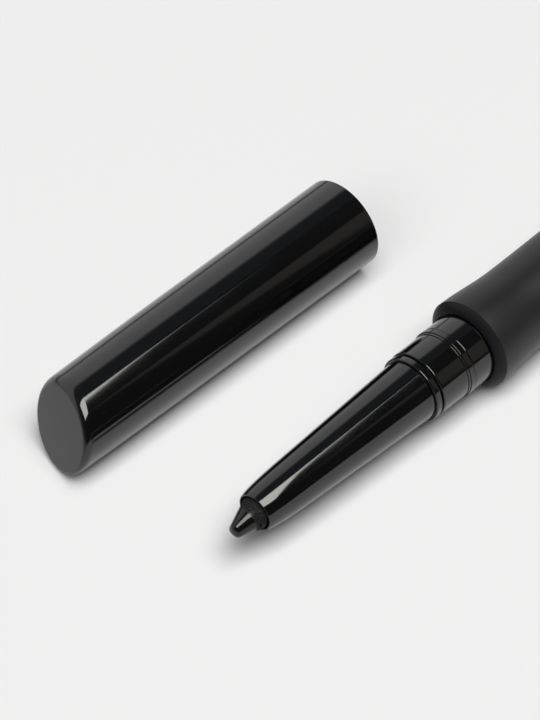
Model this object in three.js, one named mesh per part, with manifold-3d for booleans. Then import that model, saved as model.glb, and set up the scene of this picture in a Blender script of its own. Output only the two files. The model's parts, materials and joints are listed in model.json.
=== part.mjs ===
// A retractable eyeliner pencil lying on a table, with its cap off and lying beside it.
// Turning the nose in the barrel drives the lead holder's pegs along a helical groove, which
// feeds the lead out of the mouth or draws it back.
//
// Millimetres, +Z up. The pencil lies along X with its lead towards -X, and the cap lies on its
// +Y side with its open end towards +X. The origin is under the middle of the whole, on the table.
//
// Along the pencil, x is measured from the edge of the barrel's front rim, and radii grow outwards
// from the lead by named walls and clearances.

import * as THREE from 'three';
import { mergeVertices } from 'three/addons/utils/BufferGeometryUtils.js';
import Module from 'manifold-3d';

const wasm = await Module();
wasm.setup();

// Lead and feed
const LEAD_DIAMETER = 3.5;
const LEAD_SHOWN = 3.4;             // tip in front of the mouth at rest
const LEAD_SLEEVE = 0.55;           // unsharpened length in front of the mouth
const LEAD_POINT_STEP = 0.17;       // the point starts this much inside the lead's radius
const FEED_OUT = 10;                // travel from rest to fully out
const FEED_BACK = 3.8;              // travel from rest to fully drawn in
const FEED_PITCH = 6;               // travel for one turn of the nose

// Lead holder
const CUP_WALL = 0.4;
const CUP_DEPTH = 5;
const CUP_FLOOR = 0.8;
const ROD_DIAMETER = 2.4;
const SLIDER_LENGTH = 5;
const PEG_DIAMETER = 1;

// Nose
const NOSE_LENGTH = 23.25;          // mouth to the rear face of the cone
const MOUTH_WALL = 0.26;
const LIP_ROUND = 0.1;
const SHOULDER_LENGTH = 5.6;        // bullet shoulder behind the mouth
const SHOULDER_WALL = 0.9;
const SHOULDER_BLEND = 0.8;         // where the shoulder's steep front ends
const CONE_WALL = 0.67;             // at the rear of the cone
const MOUTH_BORE_LENGTH = 8.2;      // narrow bore that steadies the lead
const SOCKET_DEPTH = 4.5;           // guide sleeve inside the cone
const RING_WIDTH = 0.8;
const RING_RISE = 0.32;             // above the rear of the cone
const RING_SEAM = 0.25;             // dark gap between the ring and the collar
const EDGE_BREAK = 0.12;            // small chamfer on the gloss pieces

// Collar
const COLLAR_REACH = 8.25;          // front face in front of the barrel's rim
const COLLAR_WALL = 1.06;
const BEAD_RISE = 0.17;
const BEAD_LENGTH = 0.98;
const BEAD_FROM_RIM = 3.54;         // rear of the bead in front of the barrel's rim
const REAR_RISE = 0.13;             // rear cylinder above the front cylinder
const COLLAR_SINK = 0.15;           // end of the rear cylinder inside the barrel's mouth
const STUB_WALL = 0.78;

// Guide, helix and end stop
const GUIDE_WALL = 0.55;
const GROOVE_DEPTH = 0.5;
const HELIX_WALL = 0.3;
const STOP_WALL = 0.55;
const STOP_GRIP = 1.6;              // end stop's length on the guide sleeve
const STOP_FLOOR = 0.8;
const END_WALL = 0.7;               // helix sleeve beyond the groove or the pegs

// Friction ring
const RING_SECTION = 0.44;
const RING_GROOVE_WIDTH = 0.7;

// Barrel
const BUSH_LENGTH = 5;
const LINER_WALL = 0.5;
const SHELL_WALL = 0.59;            // at the waist
const RIM_FLARE = 0.4;              // rim above the waist
const BELLY_FLARE = 0.4;            // rear body above the waist
const WAIST_FROM_RIM = 7.5;
const BELLY_FROM_RIM = 38;
const FACE_RISE = 0.75;             // front face leans forward to the mouth
const FACE_CROWN = 0.12;            // how far the front face bulges
const RIM_ROUND = 0.15;
const BARREL_LENGTH = 88;           // rim to the tail
const TAIL_HEAD = 3;
const TAIL_ROUND = 0.8;
const TAIL_SEAM = 0.3;
const PLUG_SHANK = 5;
const PLUG_WALL = 0.8;

// Cap
const CAP_END_WALL = 5.4;           // inner floor to the middle of the slanted end
const CAP_ROOM = 2;                 // inner floor beyond the lead's tip when it is on
const CAP_REST_GAP = 0.2;           // open rim to the barrel's mouth when it is on
const CAP_WALL = 0.7;
const CAP_DRAFT = 0.28;             // closed end is this much slimmer in radius
const CAP_SLANT = 20;               // degrees from square
const CAP_ROLL = 40;                // degrees that the short side leans away from the pencil
const CAP_EDGE_ROUND = 0.6;
const CAP_RIM_ROUND = 0.2;
const CAP_ASIDE = 22.15;            // axis to axis at the cap's open rim
const CAP_RIM_BEHIND = 4.45;        // open rim behind the barrel's rim
const CAP_TURN = 0.55;              // degrees, closed end lies this much further from the pencil
const SLEEVE_WALL = 0.4;
const SLEEVE_SINK = 0.5;            // sleeve inside the cap's open rim
const SNAP_RISE = 0.06;
const SNAP_LENGTH = 0.6;
const SLEEVE_NECK = 0.6;            // taper between the sleeve's two bores
const NOSE_ROOM = 0.15;             // radial room round the cone in the sleeve
const SEAL_GRIP = 0.51;             // seal's bore inside the cone's rear radius
const SEAL_WIDTH = 1.6;
const SEAL_LIP = 0.35;              // sleeve's lip behind the seal
const LIP_LENGTH = 0.6;

// Fits, all radial or end gaps
const GLUE_FIT = 0.03;
const PRESS_FIT = 0.04;
const RUNNING_FIT = 0.07;
const THRUST_GAP = 0.2;
const STACK_GAP = 0.05;
const STOP_MARGIN = 0.4;
const PEG_FIT = 0.12;               // peg in the guide's slot, each side
const GROOVE_FIT = 0.2;             // peg in the helical groove, each side
const SNAP_FIT = 0.04;

// Facets
const OUTER_SIDES = 40;
const INNER_SIDES = 32;
const GROOVE_STEPS_PER_TURN = 24;
const PEG_SIDES = 12;
const RING_SIDES = 8;

// Radii, from the lead outwards
const leadR = LEAD_DIAMETER / 2;
const mouthBore = leadR + RUNNING_FIT;
const mouthR = mouthBore + MOUTH_WALL;
const cupBore = leadR + GLUE_FIT;
const cupR = cupBore + CUP_WALL;
const guideBore = cupR + RUNNING_FIT;
const guideR = guideBore + GUIDE_WALL;
const pressedBore = guideR + PRESS_FIT;
const shoulderR = mouthBore + SHOULDER_WALL;
const coneRearR = pressedBore + CONE_WALL;
const ringR = coneRearR + RING_RISE;
const collarR = pressedBore + COLLAR_WALL;
const beadR = collarR + BEAD_RISE;
const collarRearR = collarR + REAR_RISE;
const stubR = pressedBore + STUB_WALL;
const helixBore = guideR + RUNNING_FIT;
const pegR = PEG_DIAMETER / 2;
const pegTipR = helixBore + GROOVE_DEPTH - GROOVE_FIT;
const grooveR = helixBore + GROOVE_DEPTH;
const helixR = grooveR + HELIX_WALL;
const bushBore = stubR + RUNNING_FIT;
const linerBore = helixR + PRESS_FIT;
const linerR = Math.max(linerBore, bushBore) + LINER_WALL;
const shellBore = Math.max(linerR, collarRearR) + PRESS_FIT;
const lipBore = collarRearR + RUNNING_FIT;
const waistR = shellBore + SHELL_WALL;
const rimR = waistR + RIM_FLARE;
const bellyR = waistR + BELLY_FLARE;
const stopR = pressedBore + STOP_WALL;
const sleeveBore = beadR + SNAP_FIT;
const sleeveR = sleeveBore + SLEEVE_WALL;
const capBore = sleeveR + PRESS_FIT;
const capRimR = capBore + CAP_WALL;
const capClosedR = capRimR - CAP_DRAFT;
const tubeBore = coneRearR + NOSE_ROOM;
const tubeR = tubeBore + SLEEVE_WALL;
const sealBore = coneRearR - SEAL_GRIP;

// Places along the pencil, from the rim
const collarFront = -COLLAR_REACH;
const ringRear = collarFront - RING_SEAM;
const ringFront = ringRear - RING_WIDTH;
const mouthX = ringFront - NOSE_LENGTH;
const shoulderX = mouthX + SHOULDER_LENGTH;
const boreStepX = mouthX + MOUTH_BORE_LENGTH;
const guideFront = ringFront - SOCKET_DEPTH;
const beadRear = -BEAD_FROM_RIM;
const beadFront = beadRear - BEAD_LENGTH;
const collarEnd = COLLAR_SINK - FACE_RISE;
const bushFront = collarEnd + THRUST_GAP;
const lipRear = bushFront - STACK_GAP;
const bushRear = bushFront + BUSH_LENGTH;
const stubRear = bushRear - THRUST_GAP;
const linerFront = bushRear + STACK_GAP;
const helixFront = linerFront;
const grooveLead = pegR + STOP_MARGIN;
const grooveWidth = PEG_DIAMETER + 2 * GROOVE_FIT;
const pegX = helixFront + END_WALL + grooveWidth / 2 + grooveLead + FEED_OUT;
const helixRear = pegX + FEED_BACK + pegR + END_WALL;
const sliderFront = pegX - SLIDER_LENGTH / 2;
const sliderRear = pegX + SLIDER_LENGTH / 2;
const stopFront = helixRear + THRUST_GAP;
const guideRear = Math.max(stopFront + STOP_GRIP, sliderRear + FEED_BACK + STOP_MARGIN);
const stopInnerFace = guideRear + STACK_GAP;
const stopRear = stopInnerFace + STOP_FLOOR;
const leadTip = mouthX - LEAD_SHOWN;
const pointBase = mouthX - LEAD_SLEEVE;
const cupFront = boreStepX + STOP_MARGIN + FEED_OUT;
const cupInnerFace = cupFront + CUP_DEPTH;
const cupRear = cupInnerFace + CUP_FLOOR;
const leadRear = cupInnerFace - STACK_GAP;
const shellRear = BARREL_LENGTH - TAIL_HEAD - TAIL_SEAM;
const plugFront = shellRear - PLUG_SHANK;
const linerRear = plugFront - STACK_GAP;

// Places along the cap, from its open rim towards its closed end
const capReach = -(leadTip + FACE_RISE + CAP_REST_GAP);
const capDepth = capReach + CAP_ROOM;
const capLength = capDepth + CAP_END_WALL;
const capLean = Math.tan(THREE.MathUtils.degToRad(CAP_SLANT));
const capRoll = THREE.MathUtils.degToRad(CAP_ROLL);
const capLowestRun = capLength - CAP_RIM_ROUND - CAP_EDGE_ROUND + capLean * capClosedR * Math.cos(capRoll);
const onCap = (x) => -(x + FACE_RISE + CAP_REST_GAP);
const sleeveFrontLength = onCap(ringFront) + SLEEVE_NECK;
const snapPlace = onCap(beadFront);
const coneSlope = (coneRearR - shoulderR) / (ringFront - shoulderX);
const sealPlace = onCap(ringFront - SEAL_GRIP / coneSlope);

// Geometry helpers

function turned(outline, sides) {
  // Turns an outline of [place along X, radius] pairs round the X axis into a closed solid.
  const points = outline.map(([place, radius]) => new THREE.Vector2(radius, place));
  const last = points[points.length - 1];
  if (points[0].x > 0 || last.x > 0) {
    points.push(points[0].clone());
  }
  if (THREE.ShapeUtils.area(points) < 0) {
    points.reverse();
  }
  const geometry = new THREE.LatheGeometry(points, sides);
  return geometry.rotateZ(-Math.PI / 2);
}

function tube(from, to, inner, outer, sides) {
  return turned([[from, inner], [from, outer], [to, outer], [to, inner]], sides);
}

function swell(fromX, fromR, toX, toR, steps) {
  // Half a cosine wave between two radii, level at both ends, without its first point.
  const points = [];
  for (let i = 1; i <= steps; i += 1) {
    const t = i / steps;
    const rise = (1 - Math.cos(Math.PI * t)) / 2;
    points.push([fromX + (toX - fromX) * t, fromR + (toR - fromR) * rise]);
  }
  return points;
}

function corner(cornerX, cornerR, alongX, round, steps) {
  // Rounds the outer corner of a cylinder's end. alongX is 1 where the end faces +X, else -1.
  const points = [];
  for (let i = 0; i <= steps; i += 1) {
    const angle = (Math.PI / 2) * (i / steps);
    const x = cornerX - alongX * round * (1 - Math.sin(angle));
    points.push([x, cornerR - round * (1 - Math.cos(angle))]);
  }
  return points;
}

function bend(start, control, end, steps) {
  // Points of a quadratic curve, each [place, radius].
  const curve = new THREE.QuadraticBezierCurve(
    new THREE.Vector2(...start),
    new THREE.Vector2(...control),
    new THREE.Vector2(...end),
  );
  return curve.getPoints(steps).map((point) => [point.x, point.y]);
}

function solidOf(geometry) {
  // A closed solid for cutting and joining, with shared corners merged and flat triangles dropped.
  const bare = geometry.clone();
  bare.deleteAttribute('normal');
  bare.deleteAttribute('uv');
  const merged = mergeVertices(bare);
  const index = merged.index.array;
  const triangles = [];
  for (let i = 0; i < index.length; i += 3) {
    const [a, b, c] = [index[i], index[i + 1], index[i + 2]];
    if (a !== b && b !== c && c !== a) {
      triangles.push(a, b, c);
    }
  }
  return new wasm.Manifold(new wasm.Mesh({
    numProp: 3,
    vertProperties: new Float32Array(merged.attributes.position.array),
    triVerts: new Uint32Array(triangles),
  }));
}

function geometryOf(solid) {
  const { vertProperties, triVerts } = solid.getMesh();
  const geometry = new THREE.BufferGeometry();
  geometry.setAttribute('position', new THREE.BufferAttribute(new Float32Array(vertProperties), 3));
  geometry.setIndex(new THREE.BufferAttribute(new Uint32Array(triVerts), 1));
  geometry.computeVertexNormals();
  return geometry;
}

// Lead

function leadCore() {
  // The point is a paraboloid: its radius grows with the root of the distance from the tip.
  const steps = 6;
  const pointR = leadR - LEAD_POINT_STEP;
  const outline = [];
  for (let i = 0; i <= steps; i += 1) {
    const t = i / steps;
    outline.push([leadTip + (pointBase - leadTip) * t * t, pointR * t]);
  }
  outline.push([pointBase, leadR], [leadRear, leadR], [leadRear, 0]);
  return turned(outline, INNER_SIDES);
}

function leadHolder() {
  const rodR = ROD_DIAMETER / 2;
  const body = solidOf(turned([
    [cupInnerFace, 0],
    [cupInnerFace, cupBore],
    [cupFront, cupBore],
    [cupFront, cupR],
    [cupRear, cupR],
    [cupRear, rodR],
    [sliderFront, rodR],
    [sliderFront, cupR],
    [sliderRear, cupR],
    [sliderRear, 0],
  ], INNER_SIDES));
  const pegs = new THREE.CylinderGeometry(pegR, pegR, 2 * pegTipR, PEG_SIDES);
  pegs.rotateX(Math.PI / 2);
  pegs.translate(pegX, 0, 0);
  return geometryOf(body.add(solidOf(pegs)));
}

// Nose

function noseCone() {
  const coneControlX = mouthX + SHOULDER_BLEND;
  const coneControlR = shoulderR - coneSlope * (shoulderX - coneControlX);
  const shoulder = bend(
    [mouthX + LIP_ROUND, mouthR],
    [coneControlX, coneControlR],
    [shoulderX, shoulderR],
    7,
  );
  return turned([
    [mouthX, mouthBore],
    [mouthX, mouthR - LIP_ROUND],
    ...shoulder,
    [ringFront, coneRearR],
    [ringFront, pressedBore],
    [guideFront - STACK_GAP, pressedBore],
    [guideFront - STACK_GAP, guideBore],
    [boreStepX, guideBore],
    [boreStepX, mouthBore],
  ], OUTER_SIDES);
}

function noseRing() {
  const front = ringFront + STACK_GAP;
  return turned([
    [front, pressedBore],
    [front, ringR - EDGE_BREAK],
    [front + EDGE_BREAK, ringR],
    [ringRear - EDGE_BREAK, ringR],
    [ringRear, ringR - EDGE_BREAK],
    [ringRear, pressedBore],
  ], OUTER_SIDES);
}

function noseCollar() {
  const grooveMiddle = (collarEnd + stubRear) / 2;
  const grooveFront = grooveMiddle - RING_GROOVE_WIDTH / 2;
  const grooveRear = grooveMiddle + RING_GROOVE_WIDTH / 2;
  const grooveFloor = bushBore - RUNNING_FIT - RING_SECTION - GLUE_FIT;
  return turned([
    [collarFront, pressedBore],
    [collarFront, collarR - EDGE_BREAK],
    [collarFront + EDGE_BREAK, collarR],
    [beadFront, collarR],
    [beadFront + BEAD_RISE, beadR],
    [beadRear - BEAD_RISE, beadR],
    [beadRear, collarRearR],
    [collarEnd - EDGE_BREAK, collarRearR],
    [collarEnd, collarRearR - EDGE_BREAK],
    [collarEnd, stubR],
    [grooveFront, stubR],
    [grooveFront, grooveFloor],
    [grooveRear, grooveFloor],
    [grooveRear, stubR],
    [stubRear, stubR],
    [stubRear, pressedBore],
  ], OUTER_SIDES);
}

function frictionRing() {
  const outerR = bushBore - RUNNING_FIT;
  const middleR = outerR - RING_SECTION / 2;
  const ring = new THREE.TorusGeometry(middleR, RING_SECTION / 2, RING_SIDES, INNER_SIDES);
  ring.rotateY(Math.PI / 2);
  return ring.translate((collarEnd + stubRear) / 2, 0, 0);
}

function guideSleeve() {
  const slotFront = pegX - FEED_OUT - grooveLead;
  const slotLength = guideRear - slotFront + STOP_GRIP;
  const slots = new THREE.BoxGeometry(slotLength, PEG_DIAMETER + 2 * PEG_FIT, 4 * guideR);
  slots.translate(slotFront + slotLength / 2, 0, 0);
  const sleeve = solidOf(tube(guideFront, guideRear, guideBore, guideR, INNER_SIDES));
  return geometryOf(sleeve.subtract(solidOf(slots)));
}

function guideEndStop() {
  return turned([
    [stopInnerFace, 0],
    [stopInnerFace, pressedBore],
    [stopFront, pressedBore],
    [stopFront, stopR],
    [stopRear, stopR],
    [stopRear, 0],
  ], INNER_SIDES);
}

// Barrel

function helixGroove(start) {
  // One start of the groove as a bar wound round X. It runs from in front of the pegs' first
  // place out through the rear end. A turn of the nose, right-handed about +X, feeds towards -X.
  const frontX = pegX - FEED_OUT - grooveLead;
  const rearX = helixRear + FEED_PITCH / 4;
  const turns = (rearX - frontX) / FEED_PITCH;
  const innerR = helixBore - GROOVE_DEPTH;
  const section = new THREE.Shape([
    new THREE.Vector2(innerR, -grooveWidth / 2),
    new THREE.Vector2(grooveR, -grooveWidth / 2),
    new THREE.Vector2(grooveR, grooveWidth / 2),
    new THREE.Vector2(innerR, grooveWidth / 2),
  ]);
  const bar = new THREE.ExtrudeGeometry(section, {
    depth: turns,
    steps: Math.ceil(turns * GROOVE_STEPS_PER_TURN),
    bevelEnabled: false,
  });
  const pegAngle = Math.PI / 2 + (2 * Math.PI * FEED_OUT) / FEED_PITCH;
  const frontAngle = pegAngle + (2 * Math.PI * grooveLead) / FEED_PITCH + start;
  const position = bar.attributes.position;
  for (let i = 0; i < position.count; i += 1) {
    const radius = position.getX(i);
    const turn = position.getZ(i);
    const x = frontX + turn * FEED_PITCH + position.getY(i);
    const angle = frontAngle - 2 * Math.PI * turn;
    position.setXYZ(i, x, radius * Math.cos(angle), radius * Math.sin(angle));
  }
  return solidOf(bar);
}

function helixSleeve() {
  const sleeve = solidOf(tube(helixFront, helixRear, helixBore, helixR, INNER_SIDES));
  return geometryOf(sleeve.subtract(helixGroove(0)).subtract(helixGroove(Math.PI)));
}

function mouthBush() {
  return tube(bushFront, bushRear, bushBore, linerR, INNER_SIDES);
}

function barrelLiner() {
  return tube(linerFront, linerRear, linerBore, linerR, INNER_SIDES);
}

function barrelShell() {
  const faceStart = [-FACE_RISE, lipBore + EDGE_BREAK];
  const faceEnd = [-RIM_ROUND / 2, rimR - RIM_ROUND];
  const faceMiddle = [
    (faceStart[0] + faceEnd[0]) / 2 - 2 * FACE_CROWN,
    (faceStart[1] + faceEnd[1]) / 2,
  ];
  return turned([
    [EDGE_BREAK - FACE_RISE, lipBore],
    ...bend(faceStart, faceMiddle, faceEnd, 3),
    [RIM_ROUND, rimR],
    ...swell(RIM_ROUND, rimR, WAIST_FROM_RIM, waistR, 6),
    ...swell(WAIST_FROM_RIM, waistR, BELLY_FROM_RIM, bellyR, 8),
    [shellRear - EDGE_BREAK, bellyR],
    [shellRear, bellyR - EDGE_BREAK],
    [shellRear, shellBore],
    [lipRear, shellBore],
    [lipRear, lipBore],
  ], OUTER_SIDES);
}

function tailPlug() {
  const headFront = BARREL_LENGTH - TAIL_HEAD;
  return turned([
    [headFront, 0],
    [headFront, linerR - PLUG_WALL],
    [plugFront, linerR - PLUG_WALL],
    [plugFront, linerR],
    [headFront, linerR],
    [headFront, bellyR - EDGE_BREAK],
    [headFront + EDGE_BREAK, bellyR],
    ...corner(BARREL_LENGTH, bellyR, 1, TAIL_ROUND, 4),
    [BARREL_LENGTH, 0],
  ], OUTER_SIDES);
}

// Cap, along its own axis with its open rim at 0 and its closed end towards -X

function capShell() {
  const boreEndR = capBore - (CAP_DRAFT * capDepth) / capLength;
  const geometry = turned([
    [-capDepth, 0],
    [-capDepth, boreEndR],
    [0, capBore],
    [0, capRimR - CAP_RIM_ROUND],
    [-CAP_RIM_ROUND, capRimR],
    ...corner(-capLength, capClosedR, -1, CAP_EDGE_ROUND, 4),
    [-capLength, 0],
  ], OUTER_SIDES);
  // The closed end leans: each point of it moves along the axis by its height on the short side.
  const endStart = -(capDepth + capLength - CAP_EDGE_ROUND) / 2;
  const position = geometry.attributes.position;
  for (let i = 0; i < position.count; i += 1) {
    const x = position.getX(i);
    if (x < endStart) {
      const height = position.getY(i) * Math.sin(capRoll) + position.getZ(i) * Math.cos(capRoll);
      position.setX(i, x + capLean * height);
    }
  }
  geometry.computeVertexNormals();
  return geometry;
}

function capInnerSleeve() {
  const neckEnd = sleeveFrontLength + SLEEVE_NECK;
  const lipPlace = sealPlace + SEAL_WIDTH / 2 + STACK_GAP;
  const sleeveEnd = lipPlace + LIP_LENGTH;
  return turned([
    [-SLEEVE_SINK, sleeveBore],
    [-(snapPlace - SNAP_LENGTH / 2), sleeveBore],
    [-snapPlace, sleeveBore - SNAP_RISE],
    [-(snapPlace + SNAP_LENGTH / 2), sleeveBore],
    [-sleeveFrontLength, sleeveBore],
    [-neckEnd, tubeBore],
    [-lipPlace, tubeBore],
    [-lipPlace, tubeBore - SEAL_LIP],
    [-sleeveEnd, tubeBore - SEAL_LIP],
    [-sleeveEnd, tubeR],
    [-neckEnd, tubeR],
    [-sleeveFrontLength, sleeveR - CAP_DRAFT],
    [-SLEEVE_SINK, sleeveR],
  ], INNER_SIDES);
}

function capSealRing() {
  const half = SEAL_WIDTH / 2;
  return turned([
    [-(sealPlace - half), sealBore + EDGE_BREAK],
    [-(sealPlace - half), tubeBore - PRESS_FIT],
    [-(sealPlace + half), tubeBore - PRESS_FIT],
    [-(sealPlace + half), sealBore + EDGE_BREAK],
    [-sealPlace, sealBore],
  ], INNER_SIDES);
}

// Materials

function material(color, roughness, metalness = 0) {
  return new THREE.MeshStandardMaterial({ color, roughness, metalness });
}

const glossBlack = () => material(0x0b0b0c, 0.12);
const softTouchBlack = () => material(0x1b1b1c, 0.7);
const waxBlack = () => material(0x0d0d0d, 0.35);
const innerPlastic = () => material(0x2a2a2c, 0.5);
const whiteAcetal = () => material(0xd9d7d0, 0.45);
const sealRubber = () => material(0x1a1a1a, 0.85);

// Assembly

function piece(name, geometry, finish) {
  const mesh = new THREE.Mesh(geometry, finish);
  mesh.name = name;
  return mesh;
}

const pencil = new THREE.Group();
pencil.position.set(0, 0, Math.max(rimR, bellyR));
pencil.add(
  piece('lead_core', leadCore(), waxBlack()),
  piece('lead_holder', leadHolder(), whiteAcetal()),
  piece('nose_cone', noseCone(), glossBlack()),
  piece('nose_ring', noseRing(), glossBlack()),
  piece('nose_collar', noseCollar(), glossBlack()),
  piece('friction_ring', frictionRing(), sealRubber()),
  piece('guide_sleeve', guideSleeve(), whiteAcetal()),
  piece('guide_end_stop', guideEndStop(), innerPlastic()),
  piece('mouth_bush', mouthBush(), innerPlastic()),
  piece('helix_sleeve', helixSleeve(), whiteAcetal()),
  piece('barrel_liner', barrelLiner(), innerPlastic()),
  piece('barrel_shell', barrelShell(), softTouchBlack()),
  piece('tail_plug', tailPlug(), glossBlack()),
);

// The cap is drafted, so it lies on the table with its axis tipped by the draft.
const capTip = Math.atan(CAP_DRAFT / capLowestRun);
const capHeight = capRimR * Math.cos(capTip) + CAP_RIM_ROUND * Math.sin(capTip);
const cap = new THREE.Group();
cap.position.set(CAP_RIM_BEHIND, CAP_ASIDE, capHeight);
cap.rotation.set(0, -capTip, -THREE.MathUtils.degToRad(CAP_TURN), 'ZYX');
cap.add(
  piece('cap_shell', capShell(), glossBlack()),
  piece('cap_inner_sleeve', capInnerSleeve(), innerPlastic()),
  piece('cap_seal_ring', capSealRing(), sealRubber()),
);

const eyelinerPencil = new THREE.Group();
eyelinerPencil.add(pencil, cap);

// The origin goes under the middle of the whole, at the table.
const box = new THREE.Box3().setFromObject(eyelinerPencil, true);
const middle = box.getCenter(new THREE.Vector3());
eyelinerPencil.position.set(-middle.x, -middle.y, -box.min.z);
eyelinerPencil.updateMatrixWorld(true);

export default eyelinerPencil;
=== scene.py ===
"""Looks of a retractable eyeliner pencil and its loose cap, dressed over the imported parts.

The pencil lies along X with its lead towards -X, and the cap lies beside it on the +Y side.
Sizes in the classes are millimetres. A piece is turned about its own axis in millimetres, with
places counted from the edge of the barrel's rim or from the cap's open rim, and is then set down
in the frame's metres.
"""

import json
import logging
import math
from dataclasses import dataclass, field
from enum import Enum

import bmesh
import bpy
from bmesh.types import BMesh, BMVert
from bpy.types import Material, Node, NodeSocket, NodeTree
from mathutils import Matrix, Vector, noise


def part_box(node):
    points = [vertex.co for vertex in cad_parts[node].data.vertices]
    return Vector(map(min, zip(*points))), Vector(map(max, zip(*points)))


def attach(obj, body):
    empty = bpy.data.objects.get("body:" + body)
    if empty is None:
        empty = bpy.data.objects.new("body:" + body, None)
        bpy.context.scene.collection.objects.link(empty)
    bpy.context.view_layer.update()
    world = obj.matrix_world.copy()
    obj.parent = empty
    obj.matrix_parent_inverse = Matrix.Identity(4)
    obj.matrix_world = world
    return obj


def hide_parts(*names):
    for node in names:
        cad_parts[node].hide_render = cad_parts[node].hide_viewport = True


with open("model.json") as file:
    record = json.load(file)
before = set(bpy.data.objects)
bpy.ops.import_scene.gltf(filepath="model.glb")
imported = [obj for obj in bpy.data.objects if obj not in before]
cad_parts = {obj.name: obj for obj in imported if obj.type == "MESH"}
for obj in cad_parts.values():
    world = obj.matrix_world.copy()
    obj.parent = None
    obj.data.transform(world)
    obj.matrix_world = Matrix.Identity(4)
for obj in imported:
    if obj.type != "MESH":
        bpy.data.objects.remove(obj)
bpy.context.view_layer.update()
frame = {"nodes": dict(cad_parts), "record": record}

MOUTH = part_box("nose_cone")[0].x   # the nose's mouth along X, in metres
MM = 0.001
TINY = 1e-6                        # keeps divisions by a radius safe on the axis
DUST_COLOUR = (0.32, 0.31, 0.30)
SOFTBOX_TURN = math.radians(-8.0)
DOWN = (0.0, 0.0, -1.0)
TO_FRONT = (0.0, -1.0, 0.0)
TO_BACK = (0.0, 1.0, 0.0)

log = logging.getLogger("eyeliner_pencil")


class Slot(Enum):
    """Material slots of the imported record."""

    GLOSS_BLACK = "gloss_black"
    SOFT_TOUCH_BLACK = "soft_touch_black"
    LEAD_WAX = "lead_wax"
    INNER_BLACK = "inner_black"
    WHITE_ACETAL = "white_acetal"
    SEAL_RUBBER = "seal_rubber"


class Relief(Enum):
    """Kinds of fine unevenness in a surface."""

    WAVINESS = "slow, shallow unevenness of a moulded wall"
    GRAIN = "fine even grain of a coated or spark-eroded surface"


class Measure(Enum):
    """What tells a zone of a surface from the rest."""

    SQUARENESS = "how square a face stands to the pencil's axis, 0 to 1"
    PLACE = "place along X in metres"


class Body(Enum):
    """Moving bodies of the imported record."""

    BARREL = "barrel"
    NOSE = "nose"
    LEAD = "lead"
    CAP = "cap"


# Turned shapes


@dataclass(frozen=True)
class Corner:
    """A point of a turned outline, with the reach of its rounding along each side."""

    place: float
    radius: float
    round: float = 0.0

    def point(self) -> Vector:
        """The corner in the XZ half plane."""
        return Vector((self.place, 0.0, self.radius))


@dataclass(frozen=True)
class Span:
    """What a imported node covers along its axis, and its largest radius."""

    front: float
    rear: float
    radius: float


@dataclass(frozen=True)
class Seat:
    """Where a turned piece's axis lies in the frame.

    origin is the axis's zero point in metres, tip is the angle by which the axis's closed end dips
    below level, and turn is the axis's angle about the vertical.
    """

    origin: Vector
    tip: float = 0.0
    turn: float = 0.0

    def axes(self) -> Matrix:
        """Turns the axis's own directions to the frame's."""
        return Matrix.Rotation(self.turn, 4, "Z") @ Matrix.Rotation(-self.tip, 4, "Y")

    def matrix(self) -> Matrix:
        """Carries millimetres about the axis to the frame's metres."""
        return Matrix.Translation(self.origin) @ self.axes() @ Matrix.Scale(MM, 4)

    def span(self, node: str) -> Span:
        """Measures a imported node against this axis.

        Args:
            node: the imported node's name.

        Returns:
            its ends along the axis and its radius, in millimetres.
        """
        low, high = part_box(node)
        return Span(
            front=(low.x - self.origin.x) / MM,
            rear=(high.x - self.origin.x) / MM,
            radius=(high.y - low.y) / 2 / MM,
        )


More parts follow.
